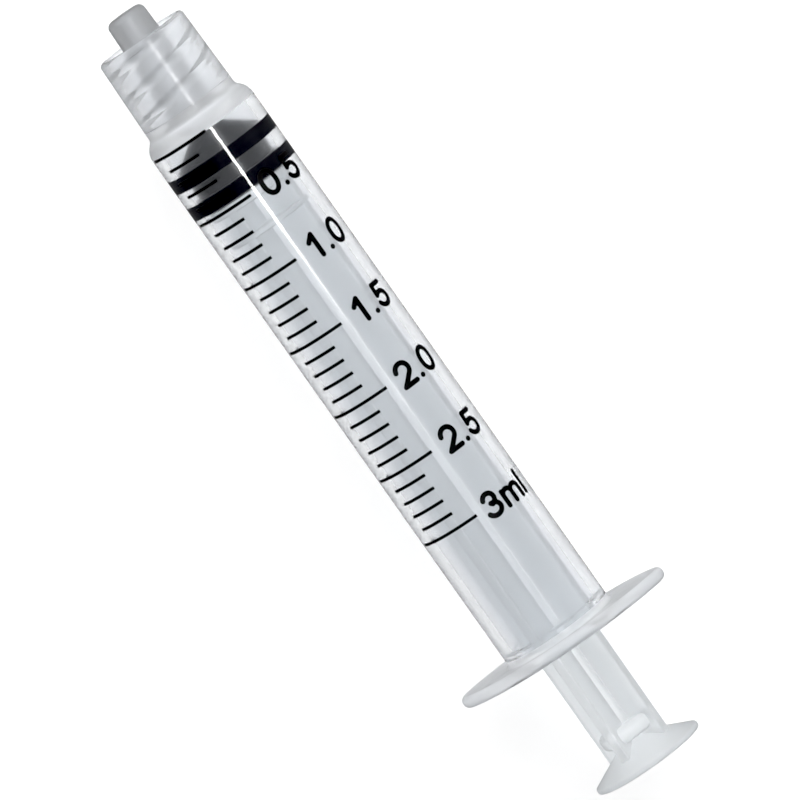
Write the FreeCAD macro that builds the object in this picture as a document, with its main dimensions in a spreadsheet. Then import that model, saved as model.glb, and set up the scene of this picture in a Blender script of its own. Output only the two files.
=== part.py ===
import FreeCAD, Part
import math
import os
import re
import Sketcher

# A 3 ml luer lock syringe lying on its side, millimetres.
# Stations run along the axis from the nozzle tip (0) to the thumb rest. +X points at the thumb rest,
# +Y along the finger flange, +Z up. The floor touches the lower edge of the finger flange.

SIZES = [
    # nozzle
    ("nozzle_tip_radius", "1.985"),
    ("nozzle_taper", "0.03"),
    ("nozzle_channel_radius", "1.05"),
    ("nozzle_round", "0.65"),
    # lock collar
    ("collar_rim", "2.7"),
    ("collar_floor", "10.5"),
    ("collar_hole_radius", "4"),
    ("collar_rim_radius", "4.65"),
    ("collar_root_radius", "4.82"),
    ("collar_rim_round", "0.42"),
    # tube
    ("shoulder_station", "11.3"),
    ("shoulder_angle", "56"),
    ("shoulder_land", "0.08"),
    ("barrel_radius", "5.7"),
    ("wall_thickness", "1.035"),
    ("cone_angle", "36"),
    ("nose_clearance", "0.08"),
    ("mouth_chamfer", "0.25"),
    ("bead_setback", "1.7"),
    ("bead_width", "0.8"),
    ("bead_height", "0.17"),
    # finger flange
    ("scale_to_flange", "14.14"),
    ("flange_thickness", "1.2"),
    ("flange_length", "22.9"),
    ("flange_width", "13.8"),
    ("flange_end_radius", "2.6"),
    ("flange_edge_round", "0.55"),
    ("flange_root_round", "0.4"),
    # printed scale
    ("scale_start", "12.93"),
    ("scale_turn", "12"),
    ("tick_volume", "100"),
    ("tick_stroke", "0.27"),
    ("ink_thickness", "0.03"),
    ("long_tick_angle", "77"),
    ("short_tick_from", "60"),
    ("short_tick_to", "18"),
    ("numeral_height", "2.7"),
    ("numeral_width", "1.9"),
    ("numeral_stroke", "0.46"),
    ("numeral_gap", "0.33"),
    ("numeral_middle", "37.5"),
    # piston
    ("plunger_draw", "2.4"),
    ("seal_clearance", "0.02"),
    ("nose_flat_radius", "1.6"),
    ("nose_round", "0.6"),
    ("piston_rib_width", "1.5"),
    ("piston_waist_length", "1.45"),
    ("piston_waist_depth", "0.5"),
    ("piston_tail", "0.15"),
    ("piston_rib_round", "0.12"),
    ("throat_radius", "1.9"),
    ("throat_length", "1.5"),
    ("socket_radius", "2.7"),
    ("socket_length", "2.1"),
    ("socket_point", "0.6"),
    # plunger rod
    ("head_clearance", "0.04"),
    ("seat_clearance", "0.05"),
    ("rod_clearance", "0.36"),
    ("seat_disc_thickness", "0.9"),
    ("guide_disc_thickness", "0.5"),
    ("front_disc_offset", "3.45"),
    ("tail_length", "15.0"),
    ("rib_thickness", "1.1"),
    ("tail_rib_step", "0.745"),
    ("core_radius", "1.2"),
    ("web_setback", "4.4"),
    ("web_thickness", "1.6"),
    ("web_step", "0.66"),
    ("thumb_rise", "11.15"),
    ("thumb_radius", "5.7"),
    ("thumb_thickness", "0.5"),
    ("thumb_cone", "2.25"),
    ("thumb_round", "0.22"),
    ("rod_turn", "20"),
]

TICKS_PER_NUMERAL = 5
NUMERALS = ["0.5", "1.0", "1.5", "2.0", "2.5", "3ml"]
TICK_STEPS = TICKS_PER_NUMERAL * len(NUMERALS)

# The bore's area spaces the scale, the scale's length sets the barrel's, and the barrel's sets the rod's.
DERIVED = [
    ("bore_radius", "=barrel_radius - wall_thickness"),
    ("tick_pitch", "=tick_volume / (pi * bore_radius ^ 2)"),
    ("scale_end", f"=scale_start + {TICK_STEPS} * tick_pitch"),
    ("flange_front", "=scale_end + scale_to_flange"),
    ("barrel_end", "=flange_front + flange_thickness"),
    ("overall_length", "=barrel_end + thumb_rise + plunger_draw"),
    ("axis_height", "=flange_width / 2"),
    ("nozzle_root_radius", "=nozzle_tip_radius + nozzle_taper * collar_floor"),
    ("shoulder_rise", "=barrel_radius - collar_root_radius"),
    ("shoulder_corner", "=shoulder_station + shoulder_rise / tan(shoulder_angle * 1 deg)"),
    ("shoulder_slope", "=shoulder_rise / sin(shoulder_angle * 1 deg)"),
    ("shoulder_round", "=(shoulder_slope - shoulder_land) / tan(shoulder_angle * 0.5 deg)"),
    ("cone_slope", "=tan(cone_angle * 1 deg)"),
    ("bore_start", "=scale_start - nose_clearance"),
    ("bore_point", "=bore_start - (bore_radius - nozzle_channel_radius) * cone_slope"),
    ("bead_end", "=barrel_end - bead_setback"),
    ("bead_start", "=bead_end - bead_width"),
    ("bead_radius", "=bore_radius - bead_height"),
    ("seal_radius", "=bore_radius - seal_clearance"),
    ("seal_station", "=scale_start + plunger_draw"),
    ("nose_station", "=seal_station - (seal_radius - nose_flat_radius) * cone_slope"),
    ("waist_start", "=seal_station + piston_rib_width"),
    ("waist_end", "=waist_start + piston_waist_length"),
    ("waist_radius", "=seal_radius - piston_waist_depth"),
    ("rear_rib_end", "=waist_end + piston_rib_width"),
    ("piston_back", "=rear_rib_end + piston_tail"),
    ("socket_back", "=piston_back - throat_length"),
    ("socket_front", "=socket_back - socket_length"),
    ("seat_station", "=piston_back + seat_clearance"),
    ("rod_reach", "=bore_radius - rod_clearance"),
    ("seat_disc_end", "=seat_station + seat_disc_thickness"),
    ("rib_reach", "=sqrt(rod_reach ^ 2 - (rib_thickness / 2) ^ 2)"),
    ("front_disc", "=seat_station + front_disc_offset"),
    ("rear_disc", "=overall_length - tail_length"),
    ("rear_disc_end", "=rear_disc + guide_disc_thickness"),
    ("tail_rib_reach", "=rod_reach - tail_rib_step"),
    ("web_station", "=overall_length - web_setback"),
    ("web_radius", "=tail_rib_reach - web_step"),
    ("thumb_front", "=overall_length - thumb_thickness"),
    ("flange_end_centre", "=flange_length / 2 - flange_end_radius"),
    ("flange_drop", "=axis_height - flange_end_radius"),
    ("flange_side_excess", "=(flange_end_centre ^ 2 - flange_drop ^ 2) / (2 * flange_drop)"),
    ("flange_side_radius", "=flange_side_excess + axis_height"),
    ("flange_share", "=flange_end_radius / (flange_side_radius - flange_end_radius)"),
    ("flange_corner_across", "=flange_end_centre * (1 + flange_share)"),
    ("flange_corner_up", "=flange_side_excess * flange_share"),
]

ALIASES = {alias for alias, _ in SIZES + DERIVED}
X_AXIS = FreeCAD.Vector(1, 0, 0)

doc = FreeCAD.newDocument("Syringe")
sheet = doc.addObject("Spreadsheet::Sheet", "Sizes")
for row, (alias, content) in enumerate(SIZES + DERIVED, start=1):
    sheet.set(f"A{row}", alias)
    sheet.set(f"B{row}", content)
    sheet.setAlias(f"B{row}", alias)
doc.recompute()


def size(expression):
    """The value of an expression in the named sizes."""
    found = sheet.evalExpression(expression)
    return float(getattr(found, "Value", found))


def bound(expression):
    """The same expression as another object of the document reads it."""
    return re.sub(r"[a-z]\w+", lambda m: f"Sizes.{m[0]}" if m[0] in ALIASES else m[0], expression)


def lay_on_side(thing, turn="0"):
    """Puts the nozzle tip and the thumb rest at equal distances from the middle, above the floor."""
    thing.Placement.Rotation = FreeCAD.Rotation(X_AXIS, size(turn))
    thing.setExpression("Placement.Base.x", bound("0 - overall_length / 2"))
    thing.setExpression("Placement.Base.z", bound("axis_height"))
    if turn != "0":
        thing.setExpression("Placement.Rotation.Angle", bound(turn))


def new_body(label, turn="0"):
    body = doc.addObject("PartDesign::Body", label)
    body.Label = label
    lay_on_side(body, turn)
    return body


def new_sketch(body, name, role, station=None):
    """An empty sketch on one of the body's origin planes, or on a plane across the axis at a station."""
    sketch = body.newObject("Sketcher::SketchObject", name)
    origin_plane = next(o for o in body.Origin.OriginFeatures if o.Role == role)
    sketch.AttachmentSupport = [(origin_plane, "")]
    sketch.MapMode = "FlatFace"
    if station:
        sketch.setExpression("AttachmentOffset.Base.z", bound(station))
    return sketch


def pin_point(sketch, edge, end, across, up):
    """Ties one end of an edge to its two distances from the sketch's origin."""
    for kind, axis, expression in (("DistanceX", -2, across), ("DistanceY", -1, up)):
        distance = size(expression)
        if expression == "0":
            sketch.addConstraint(Sketcher.Constraint("PointOnObject", edge, end, axis))
        elif distance > 0:
            n = sketch.addConstraint(Sketcher.Constraint(kind, -1, 1, edge, end, distance))
            sketch.setExpression(f"Constraints[{n}]", bound(expression))
        else:
            n = sketch.addConstraint(Sketcher.Constraint(kind, edge, end, -1, 1, -distance))
            sketch.setExpression(f"Constraints[{n}]", bound(f"0 - ({expression})"))


def polygon(sketch, corners):
    """A closed outline of straight edges through corners given as pairs of expressions."""
    spots = [FreeCAD.Vector(size(across), size(up), 0) for across, up in corners]
    count = len(corners)
    for n in range(count):
        sketch.addGeometry(Part.LineSegment(spots[n], spots[(n + 1) % count]), False)
    for n in range(count):
        sketch.addConstraint(Sketcher.Constraint("Coincident", n, 2, (n + 1) % count, 1))
    for n, (across, up) in enumerate(corners):
        pin_point(sketch, n, 1, across, up)


def revolve(body, corners):
    """A solid of revolution about the axis, from an outline of stations and radii."""
    sketch = new_sketch(body, f"{body.Label}_section", "XY_Plane")
    polygon(sketch, corners)
    solid = body.newObject("PartDesign::Revolution", f"{body.Label}_revolved")
    solid.Profile = sketch
    solid.ReferenceAxis = (sketch, ["H_Axis"])
    solid.Angle = 360
    doc.recompute()


def pad(body, sketch, length):
    """Extrudes a sketch along +X."""
    solid = body.newObject("PartDesign::Pad", f"{sketch.Label}_pad")
    solid.Profile = sketch
    solid.setExpression("Length", bound(length))
    doc.recompute()


def fillet(body, name, radius, chosen, count):
    """Rounds the edges of the body's tip that are chosen by a test, which must be count edges."""
    edges = [f"Edge{n}" for n, edge in enumerate(body.Tip.Shape.Edges, start=1) if chosen(edge)]
    if len(edges) != count:
        raise ValueError(f"{name} found {len(edges)} edges, not {count}")
    base = body.Tip
    rounding = body.newObject("PartDesign::Fillet", name)
    rounding.Base = (base, edges)
    rounding.setExpression("Radius", bound(radius))
    doc.recompute()


def rim(station, radius):
    """A test for the full circle about the axis at a station."""

    def chosen(edge):
        curve = edge.Curve
        if not isinstance(curve, Part.Circle) or abs(curve.Center.y) + abs(curve.Center.z) > 1e-4:
            return False
        return abs(curve.Center.x - size(station)) + abs(curve.Radius - size(radius)) < 1e-4

    return chosen


def either(*tests):
    return lambda edge: any(test(edge) for test in tests)


def flange_outline(sketch):
    """An oval of two end arcs and two side arcs, tangent where they meet, with a hole in the wall."""
    end_centre = size("flange_end_centre")
    side_centre = size("flange_side_excess")
    corner = math.atan2(side_centre, end_centre)
    arcs = [
        (end_centre, 0, "flange_end_radius", -corner, corner),
        (0, -side_centre, "flange_side_radius", corner, math.pi - corner),
        (-end_centre, 0, "flange_end_radius", math.pi - corner, math.pi + corner),
        (0, side_centre, "flange_side_radius", math.pi + corner, 2 * math.pi - corner),
    ]
    corners = [
        ("flange_corner_across", "0 - flange_corner_up"),
        ("flange_corner_across", "flange_corner_up"),
        ("0 - flange_corner_across", "flange_corner_up"),
        ("0 - flange_corner_across", "0 - flange_corner_up"),
    ]
    for across, up, radius, start, end in arcs:
        circle = Part.Circle(FreeCAD.Vector(across, up, 0), FreeCAD.Vector(0, 0, 1), size(radius))
        sketch.addGeometry(Part.ArcOfCircle(circle, start, end), False)
    for n in range(4):
        sketch.addConstraint(Sketcher.Constraint("Coincident", n, 2, (n + 1) % 4, 1))
        pin_point(sketch, n, 1, *corners[n])
    for n, arc in enumerate(arcs):
        at = sketch.addConstraint(Sketcher.Constraint("Radius", n, size(arc[2])))
        sketch.setExpression(f"Constraints[{at}]", bound(arc[2]))
    middle_of_wall = "(barrel_radius + bore_radius) / 2"
    hole = Part.Circle(FreeCAD.Vector(0, 0, 0), FreeCAD.Vector(0, 0, 1), size(middle_of_wall))
    sketch.addGeometry(hole, False)
    sketch.addConstraint(Sketcher.Constraint("Coincident", 4, 3, -1, 1))
    at = sketch.addConstraint(Sketcher.Constraint("Radius", 4, size(middle_of_wall)))
    sketch.setExpression(f"Constraints[{at}]", bound(middle_of_wall))


def make_barrel():
    """Nozzle, lock collar, tube and finger flange in one moulding."""
    body = new_body("barrel")
    revolve(
        body,
        [
            ("0", "nozzle_channel_radius"),
            ("0", "nozzle_tip_radius"),
            ("collar_floor", "nozzle_root_radius"),
            ("collar_floor", "collar_hole_radius"),
            ("collar_rim", "collar_hole_radius"),
            ("collar_rim", "collar_rim_radius"),
            ("shoulder_station", "collar_root_radius"),
            ("shoulder_corner", "barrel_radius"),
            ("barrel_end", "barrel_radius"),
            ("barrel_end", "bore_radius + mouth_chamfer"),
            ("barrel_end - mouth_chamfer", "bore_radius"),
            ("bead_end", "bore_radius"),
            ("bead_end - bead_height", "bead_radius"),
            ("bead_start + bead_height", "bead_radius"),
            ("bead_start", "bore_radius"),
            ("bore_start", "bore_radius"),
            ("bore_point", "nozzle_channel_radius"),
        ],
    )
    sketch = new_sketch(body, "flange", "YZ_Plane", "flange_front")
    flange_outline(sketch)
    pad(body, sketch, "flange_thickness")
    fillet(body, "nozzle_tip_rounding", "nozzle_round", rim("0", "nozzle_tip_radius"), 1)
    fillet(body, "collar_rim_rounding", "collar_rim_round", rim("collar_rim", "collar_rim_radius"), 1)
    fillet(body, "shoulder_rounding", "shoulder_round", rim("shoulder_corner", "barrel_radius"), 1)
    fillet(body, "flange_root_rounding", "flange_root_round", rim("flange_front", "barrel_radius"), 1)

    def flange_edge(edge):
        """The outline of the flange on its two faces, beyond the barrel."""
        box = edge.BoundBox
        on_face = min(abs(box.XMin - size("flange_front")), abs(box.XMin - size("barrel_end"))) < 1e-4
        reach = max(math.hypot(v.Point.y, v.Point.z) for v in edge.Vertexes)
        return box.XLength < 1e-4 and on_face and reach > size("axis_height")

    fillet(body, "flange_edge_rounding", "flange_edge_round", flange_edge, 8)
    return body


def make_piston():
    """Rubber piston with a coned nose, two sealing ribs and a socket for the rod's head."""
    body = new_body("piston")
    revolve(
        body,
        [
            ("nose_station", "0"),
            ("nose_station", "nose_flat_radius"),
            ("seal_station", "seal_radius"),
            ("waist_start", "seal_radius"),
            ("waist_start", "waist_radius"),
            ("waist_end", "waist_radius"),
            ("waist_end", "seal_radius"),
            ("rear_rib_end", "seal_radius"),
            ("piston_back", "waist_radius"),
            ("piston_back", "throat_radius"),
            ("socket_back", "throat_radius"),
            ("socket_back", "socket_radius"),
            ("socket_front", "socket_radius"),
            ("socket_front - socket_point", "throat_radius"),
            ("socket_front - socket_point", "0"),
        ],
    )
    fillet(body, "nose_rounding", "nose_round", rim("nose_station", "nose_flat_radius"), 1)
    edges = either(rim("waist_start", "seal_radius"), rim("waist_end", "seal_radius"))
    fillet(body, "rib_rounding", "piston_rib_round", edges, 2)
    return body


def negative(expression):
    return expression[4:] if expression.startswith("0 - ") else f"0 - {expression}"


def cross_section(sketch, reach):
    """The outline of two ribs that cross at the axis, one arm turned by quarters."""
    half = "rib_thickness / 2"
    arm = [(reach, negative(half)), (reach, half), (half, half)]
    corners = []
    for _ in range(4):
        corners += arm
        arm = [(negative(up), across) for across, up in arm]
    polygon(sketch, corners)


def make_plunger_rod():
    """Head, discs, ribs, web and thumb rest in one moulding, turned about the axis as it came to lie."""
    body = new_body("plunger_rod", "rod_turn")
    gap = "head_clearance"
    cone_start = "thumb_front - thumb_cone"
    discs = [
        ("front_disc", "front_disc + guide_disc_thickness", "rod_reach"),
        ("rear_disc", "rear_disc_end", "rod_reach"),
        ("web_station", "web_station + web_thickness", "web_radius"),
    ]
    corners = [
        (f"socket_front - socket_point + {gap}", "0"),
        (f"socket_front - socket_point + {gap}", f"throat_radius - {gap}"),
        (f"socket_front + {gap}", f"socket_radius - {gap}"),
        (f"socket_back - {gap}", f"socket_radius - {gap}"),
        (f"socket_back - {gap}", f"throat_radius - {gap}"),
        ("seat_station", f"throat_radius - {gap}"),
        ("seat_station", "rod_reach"),
        ("seat_disc_end", "rod_reach"),
        ("seat_disc_end", "core_radius"),
    ]
    for front, back, radius in discs:
        corners += [(front, "core_radius"), (front, radius), (back, radius), (back, "core_radius")]
    corners += [
        (cone_start, "core_radius"),
        ("thumb_front", "thumb_radius"),
        ("overall_length", "thumb_radius"),
        ("overall_length", "0"),
    ]
    revolve(body, corners)
    inside_seat_disc = "seat_disc_end - seat_disc_thickness / 2"
    inside_rear_disc = "rear_disc_end - guide_disc_thickness / 2"
    inside_thumb_rest = "thumb_front + thumb_thickness / 2"
    ribs = [
        ("wide_ribs", inside_seat_disc, inside_rear_disc, "rib_reach"),
        ("tail_ribs", inside_rear_disc, inside_thumb_rest, "tail_rib_reach"),
    ]
    for name, start, end, reach in ribs:
        sketch = new_sketch(body, name, "YZ_Plane", start)
        cross_section(sketch, reach)
        pad(body, sketch, f"({end}) - ({start})")
    edges = either(rim("overall_length", "thumb_radius"), rim("thumb_front", "thumb_radius"))
    fillet(body, "thumb_rounding", "thumb_round", edges, 2)
    return body


def around(angle):
    """A turn that lays a cylinder's axis along +X and starts it at an angle from the top towards +Y."""
    start = FreeCAD.Vector(0, math.sin(angle), math.cos(angle))
    return FreeCAD.Rotation(start, X_AXIS.cross(start), X_AXIS, "XYZ")


def make_ticks():
    """Graduation lines, one each tenth of a millilitre, long at each numeral."""
    blanks = []
    for n in range(TICK_STEPS + 1):
        tick = doc.addObject("Part::Cylinder", f"tick_{n}")
        tick.setExpression("Radius", bound("barrel_radius + ink_thickness"))
        tick.setExpression("Height", bound("tick_stroke"))
        turn = "scale_turn"
        span = "long_tick_angle"
        if n % TICKS_PER_NUMERAL:
            turn = "scale_turn - short_tick_to"
            span = "short_tick_from - short_tick_to"
        tick.setExpression("Angle", bound(span))
        tick.Placement.Rotation = around(math.radians(size(turn)))
        tick.setExpression("Placement.Base.x", bound(f"scale_start + {n} * tick_pitch - tick_stroke / 2"))
        blanks.append(tick)
    group = doc.addObject("Part::Compound", "tick_blanks")
    group.Links = blanks
    tube = doc.addObject("Part::Cylinder", "printed_surface")
    tube.setExpression("Radius", bound("barrel_radius"))
    tube.setExpression("Height", bound("barrel_end"))
    tube.Placement.Rotation = around(0)
    lines = doc.addObject("Part::Cut", "scale_ticks")
    lines.Base = group
    lines.Tool = tube
    lay_on_side(lines)
    lines.Label = "scale_ticks"
    doc.recompute()
    return lines


def bar(start, end, stroke, depth):
    """A straight stroke of a glyph, square at both ends."""
    along = FreeCAD.Vector(*end, 0) - FreeCAD.Vector(*start, 0)
    solid = Part.makeBox(along.Length, stroke, depth, FreeCAD.Vector(0, -stroke / 2, 0))
    turn = math.degrees(math.atan2(along.y, along.x))
    solid.Placement = FreeCAD.Placement(FreeCAD.Vector(*start, 0), FreeCAD.Rotation(turn, 0, 0))
    return solid


def bow(centre, radius, start, end, stroke, depth):
    """A round stroke of a glyph between two angles in degrees."""
    base = FreeCAD.Vector(0, 0, 0)
    up = FreeCAD.Vector(0, 0, 1)
    outer = Part.makeCylinder(radius + stroke / 2, depth, base, up, end - start)
    solid = outer.cut(Part.makeCylinder(radius - stroke / 2, depth))
    solid.Placement = FreeCAD.Placement(FreeCAD.Vector(*centre, 0), FreeCAD.Rotation(start, 0, 0))
    return solid


def glyph(character, depth):
    """A character's width and its solid, which stands on the baseline and starts at its left edge."""
    height = size("numeral_height")
    width = size("numeral_width")
    stroke = size("numeral_stroke")
    half = stroke / 2
    top = height - half
    middle = width / 2
    bend = middle - half
    small_bend = (height - stroke) / 4

    def line(start, end):
        return bar(start, end, stroke, depth)

    def arc(centre, radius, start, end):
        return bow(centre, radius, start, end, stroke, depth)

    if character == ".":
        dot = Part.makeCylinder(stroke * 0.6, depth, FreeCAD.Vector(stroke * 0.6, stroke * 0.6, 0))
        return stroke * 1.2, [dot]
    if character == "l":
        return stroke, [line((half, 0), (half, height))]
    if character == "m":
        spacing = width * 0.58
        bend = spacing / 2
        shoulder = height * 0.7 - half - bend
        stems = [half, half + spacing, half + 2 * spacing]
        strokes = [line((stems[0], 0), (stems[0], height * 0.7))]
        strokes += [line((stem, 0), (stem, shoulder)) for stem in stems[1:]]
        strokes += [arc((stem - bend, shoulder), bend, 0, 180) for stem in stems[1:]]
        return stroke + 2 * spacing, strokes
    if character == "0":
        sides = [line((x, half + bend), (x, top - bend)) for x in (half, width - half)]
        ends = [arc((middle, half + bend), bend, 180, 360), arc((middle, top - bend), bend, 0, 180)]
        return width, sides + ends
    if character == "1":
        stem = width * 0.62
        return width, [line((stem, 0), (stem, height)), line((stem, top), (width * 0.2, height * 0.72))]
    if character == "2":
        low = math.radians(-40)
        foot = (middle + bend * math.cos(low), top - bend + bend * math.sin(low))
        bowl = arc((middle, top - bend), bend, -40, 170)
        return width, [bowl, line(foot, (half, half)), line((0, half), (width, half))]
    if character == "3":
        upper = arc((middle, top - small_bend), small_bend, -90, 160)
        return width, [upper, arc((middle, half + small_bend), small_bend, -160, 90)]
    bowl = arc((middle, half + bend), bend, -155, 125)
    side = line((half, height * 0.42), (half + bend * 0.25, height))
    return width, [bowl, side, line((half + bend * 0.1, top), (width * 0.92, top))]


def make_numerals():
    """Plain numbers beside the long lines, each character laid square to the round wall."""
    wall = size("barrel_radius")
    ink = size("ink_thickness")
    gap = size("numeral_gap")
    printed = []
    for n, numeral in enumerate(NUMERALS, start=1):
        station = size("scale_start") + n * TICKS_PER_NUMERAL * size("tick_pitch")
        glyphs = [glyph(character, wall) for character in numeral]
        length = sum(width for width, _ in glyphs) + gap * (len(glyphs) - 1)
        reading = math.radians(size("scale_turn + numeral_middle")) * wall - length / 2
        for width, strokes in glyphs:
            angle = (reading + width / 2) / wall
            outward = FreeCAD.Vector(0, math.sin(angle), math.cos(angle))
            across = FreeCAD.Vector(0, math.cos(angle), -math.sin(angle))
            corner = FreeCAD.Vector(station + size("numeral_height") / 2, 0, 0) - across * (width / 2)
            solid = strokes[0].multiFuse(strokes[1:]) if strokes[1:] else strokes[0]
            turn = FreeCAD.Rotation(across, X_AXIS * -1, outward, "XYZ")
            solid.Placement = FreeCAD.Placement(corner + outward * (wall / 2), turn) * solid.Placement
            printed.append(solid)
            reading += width + gap
    shell = Part.makeCylinder(wall + ink, size("barrel_end"), FreeCAD.Vector(), X_AXIS)
    shell = shell.cut(Part.makeCylinder(wall, size("barrel_end"), FreeCAD.Vector(), X_AXIS))
    solids = []
    for solid in printed:
        solids += solid.common(shell).removeSplitter().Solids
    numerals = doc.addObject("Part::Feature", "scale_numerals")
    numerals.Shape = Part.Compound(solids)
    lay_on_side(numerals)
    numerals.Label = "scale_numerals"
    return numerals


nodes = [make_barrel(), make_piston(), make_plunger_rod(), make_ticks(), make_numerals()]
doc.recompute()

failed = [thing.Label for thing in doc.Objects if {"Invalid", "Error"} & set(thing.State)]
failed += [node.Label for node in nodes if node.Shape.isNull() or not node.Shape.isValid()]
if failed:
    raise ValueError(f"failed: {failed}")

os.makedirs("parts", exist_ok=True)
for node in nodes:
    node.Shape.exportStep(f"parts/{node.Label}.step")
    box = node.Shape.BoundBox
    print(node.Label, len(node.Shape.Solids), "solids", round(node.Shape.Volume, 2), "mm3", box)
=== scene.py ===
"""A luer lock syringe lying on a pale floor: clear barrel, rubber piston, plunger rod and printed scale.

Stations run along the syringe from the nozzle tip (0) to the thumb rest, and sections are written in
millimetres. Meshes are in metres, in the frame of the CAD part: +X towards the thumb rest, +Y along the
finger flange, +Z up.
"""

import math

import bmesh
import bpy
import numpy as np
from mathutils import Matrix, Vector


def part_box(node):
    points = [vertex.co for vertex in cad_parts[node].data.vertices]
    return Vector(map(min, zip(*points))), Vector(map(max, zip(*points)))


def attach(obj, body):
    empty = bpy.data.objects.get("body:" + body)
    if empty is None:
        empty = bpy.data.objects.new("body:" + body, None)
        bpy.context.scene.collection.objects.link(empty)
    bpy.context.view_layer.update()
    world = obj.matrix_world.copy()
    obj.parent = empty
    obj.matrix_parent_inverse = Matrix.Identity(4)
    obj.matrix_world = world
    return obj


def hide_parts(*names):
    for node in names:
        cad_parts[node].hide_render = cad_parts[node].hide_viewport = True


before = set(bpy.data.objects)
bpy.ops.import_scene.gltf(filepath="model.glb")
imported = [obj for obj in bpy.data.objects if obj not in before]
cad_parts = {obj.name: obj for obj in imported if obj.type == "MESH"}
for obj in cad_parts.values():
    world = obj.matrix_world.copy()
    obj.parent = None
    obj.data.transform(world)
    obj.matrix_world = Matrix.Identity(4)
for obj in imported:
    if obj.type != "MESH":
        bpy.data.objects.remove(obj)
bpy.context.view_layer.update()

bl_info = {
    "name": "Luer lock syringe",
    "version": (1, 0, 0),
    "blender": (4, 5, 0),
    "location": "View3D > Sidebar > Syringe",
    "description": "Builds a clear syringe round its CAD frame, with its stage",
    "category": "Add Mesh",
}

MM = 0.001
# Points that lie closer together than this are one point.
SEAM = 0.002 * MM
# The places of the finishes on a turned moulding: four on the barrel, two on the piston.
FINISHES = ("First finish", "Second finish", "Third finish", "Fourth finish")
CLEAR, HAZY, MILKY, DULL = range(4)
FREE, PRESSED = range(2)
BARREL_LOW, BARREL_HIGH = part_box("barrel")
ROD_LOW, ROD_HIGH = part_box("plunger_rod")
PISTON_LOW, PISTON_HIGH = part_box("piston")
TIP_X = BARREL_LOW.x
AXIS_Z = (BARREL_LOW.z + BARREL_HIGH.z) / 2
FLANGE_LENGTH = BARREL_HIGH.y - BARREL_LOW.y
FLANGE_WIDTH = BARREL_HIGH.z - BARREL_LOW.z
THUMB_RADIUS = (ROD_HIGH.z - ROD_LOW.z) / 2


def station_of(corner):
    """How far a corner of a CAD node's box lies behind the nozzle tip, in millimetres."""
    return (corner.x - TIP_X) / MM


BARREL_END = station_of(BARREL_HIGH)
PISTON_NOSE = station_of(PISTON_LOW)
PISTON_BACK = station_of(PISTON_HIGH)
ROD_HEAD = station_of(ROD_LOW)
ROD_END = station_of(ROD_HIGH)


# Settings


def length(name, description, default):
    """A size in metres for the sidebar."""
    kind = {"min": 0.0, "precision": 5, "unit": "LENGTH", "subtype": "DISTANCE"}
    return bpy.props.FloatProperty(name=name, description=description, default=default, **kind)


def angle(name, description, default):
    """An angle for the sidebar, given here in degrees."""
    return bpy.props.FloatProperty(
        name=name, description=description, default=math.radians(default), unit="ROTATION", subtype="ANGLE"
    )


def colour(name, description, default):
    """A colour for the sidebar."""
    return bpy.props.FloatVectorProperty(
        name=name, description=description, default=default, size=4, min=0.0, max=1.0, subtype="COLOR"
    )


class SyringeSizes(bpy.types.PropertyGroup):
    """Sizes of the barrel, piston, rod and scale."""

    barrel_radius: length("Barrel radius", "Outside of the tube", 0.0057)
    bore_radius: length("Bore radius", "Inside of the tube", 0.004665)
    collar_hole: length("Collar hole", "Radius in the lock collar", 0.004)
    thread_pitch: length("Thread spacing", "From one ridge to the next", 0.0025)
    thread_lead: length("Thread lead", "Travel in one turn", 0.005)
    thread_depth: length("Thread depth", "Height of the ridge", 0.0003)
    flange_length: length("Flange length", "Across the finger flange", FLANGE_LENGTH)
    flange_width: length("Flange width", "The flange's narrow way", FLANGE_WIDTH)
    flange_end: length("Flange end radius", "Round of the flange's two ends", 0.0026)
    flange_thickness: length("Flange thickness", "From front face to back face", 0.0012)
    thumb_radius: length("Thumb rest radius", "Radius of the thumb rest", THUMB_RADIUS)
    rib_thickness: length("Rib thickness", "Thickness of the rod's four ribs", 0.0011)
    wide_reach: length("Wide rib reach", "From the axis to the ribs' edge, in the barrel", 0.00427)
    tail_reach: length("Tail rib reach", "From the axis to the ribs' edge, at the tail", 0.00356)
    rod_turn: angle("Rod turn", "How far the rod is turned about the axis", 20)
    first_line: length("First line", "Station of the first graduation line", 0.01293)
    line_spacing: length("Line spacing", "From one graduation line to the next", 0.00146267)
    line_width: length("Line width", "Thickness of a graduation line", 0.00031)
    ink_height: length("Ink height", "How far the ink stands on the wall", 0.00003)
    numeral_height: length("Numeral height", "Height of the printed figures", 0.0027)
    numeral_middle: angle("Numeral middle", "From the long lines' end to the middle of the figures", 37.5)
    scale_turn: angle("Scale turn", "Where the long lines end, from the top towards +Y", 12)
    long_span: angle("Long line span", "Angle that a long line covers", 77)
    short_start: angle("Short line start", "From the long lines' end to the short lines", 18)
    short_span: angle("Short line span", "Angle that a short line covers", 42)
    steps: bpy.props.IntProperty(
        name="Steps round", description="Faces round a turned piece", default=224, min=24, max=360
    )


class SyringeColours(bpy.types.PropertyGroup):
    """Colours of the syringe and the stage."""

    barrel: colour("Barrel", "Clear plastic of the barrel", (0.88, 0.895, 0.915, 1.0))
    rod: colour("Rod", "Clear plastic of the plunger rod", (0.765, 0.785, 0.80, 1.0))
    rubber: colour("Rubber", "Piston", (0.0125, 0.0125, 0.0145, 1.0))
    ink: colour("Ink", "Printed scale", (0.001, 0.001, 0.0012, 1.0))
    floor: colour("Floor", "Pale floor", (0.92, 0.92, 0.92, 1.0))


def sizes():
    return bpy.context.scene.syringe_sizes


def colours():
    return bpy.context.scene.syringe_colours


# Node trees


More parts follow.
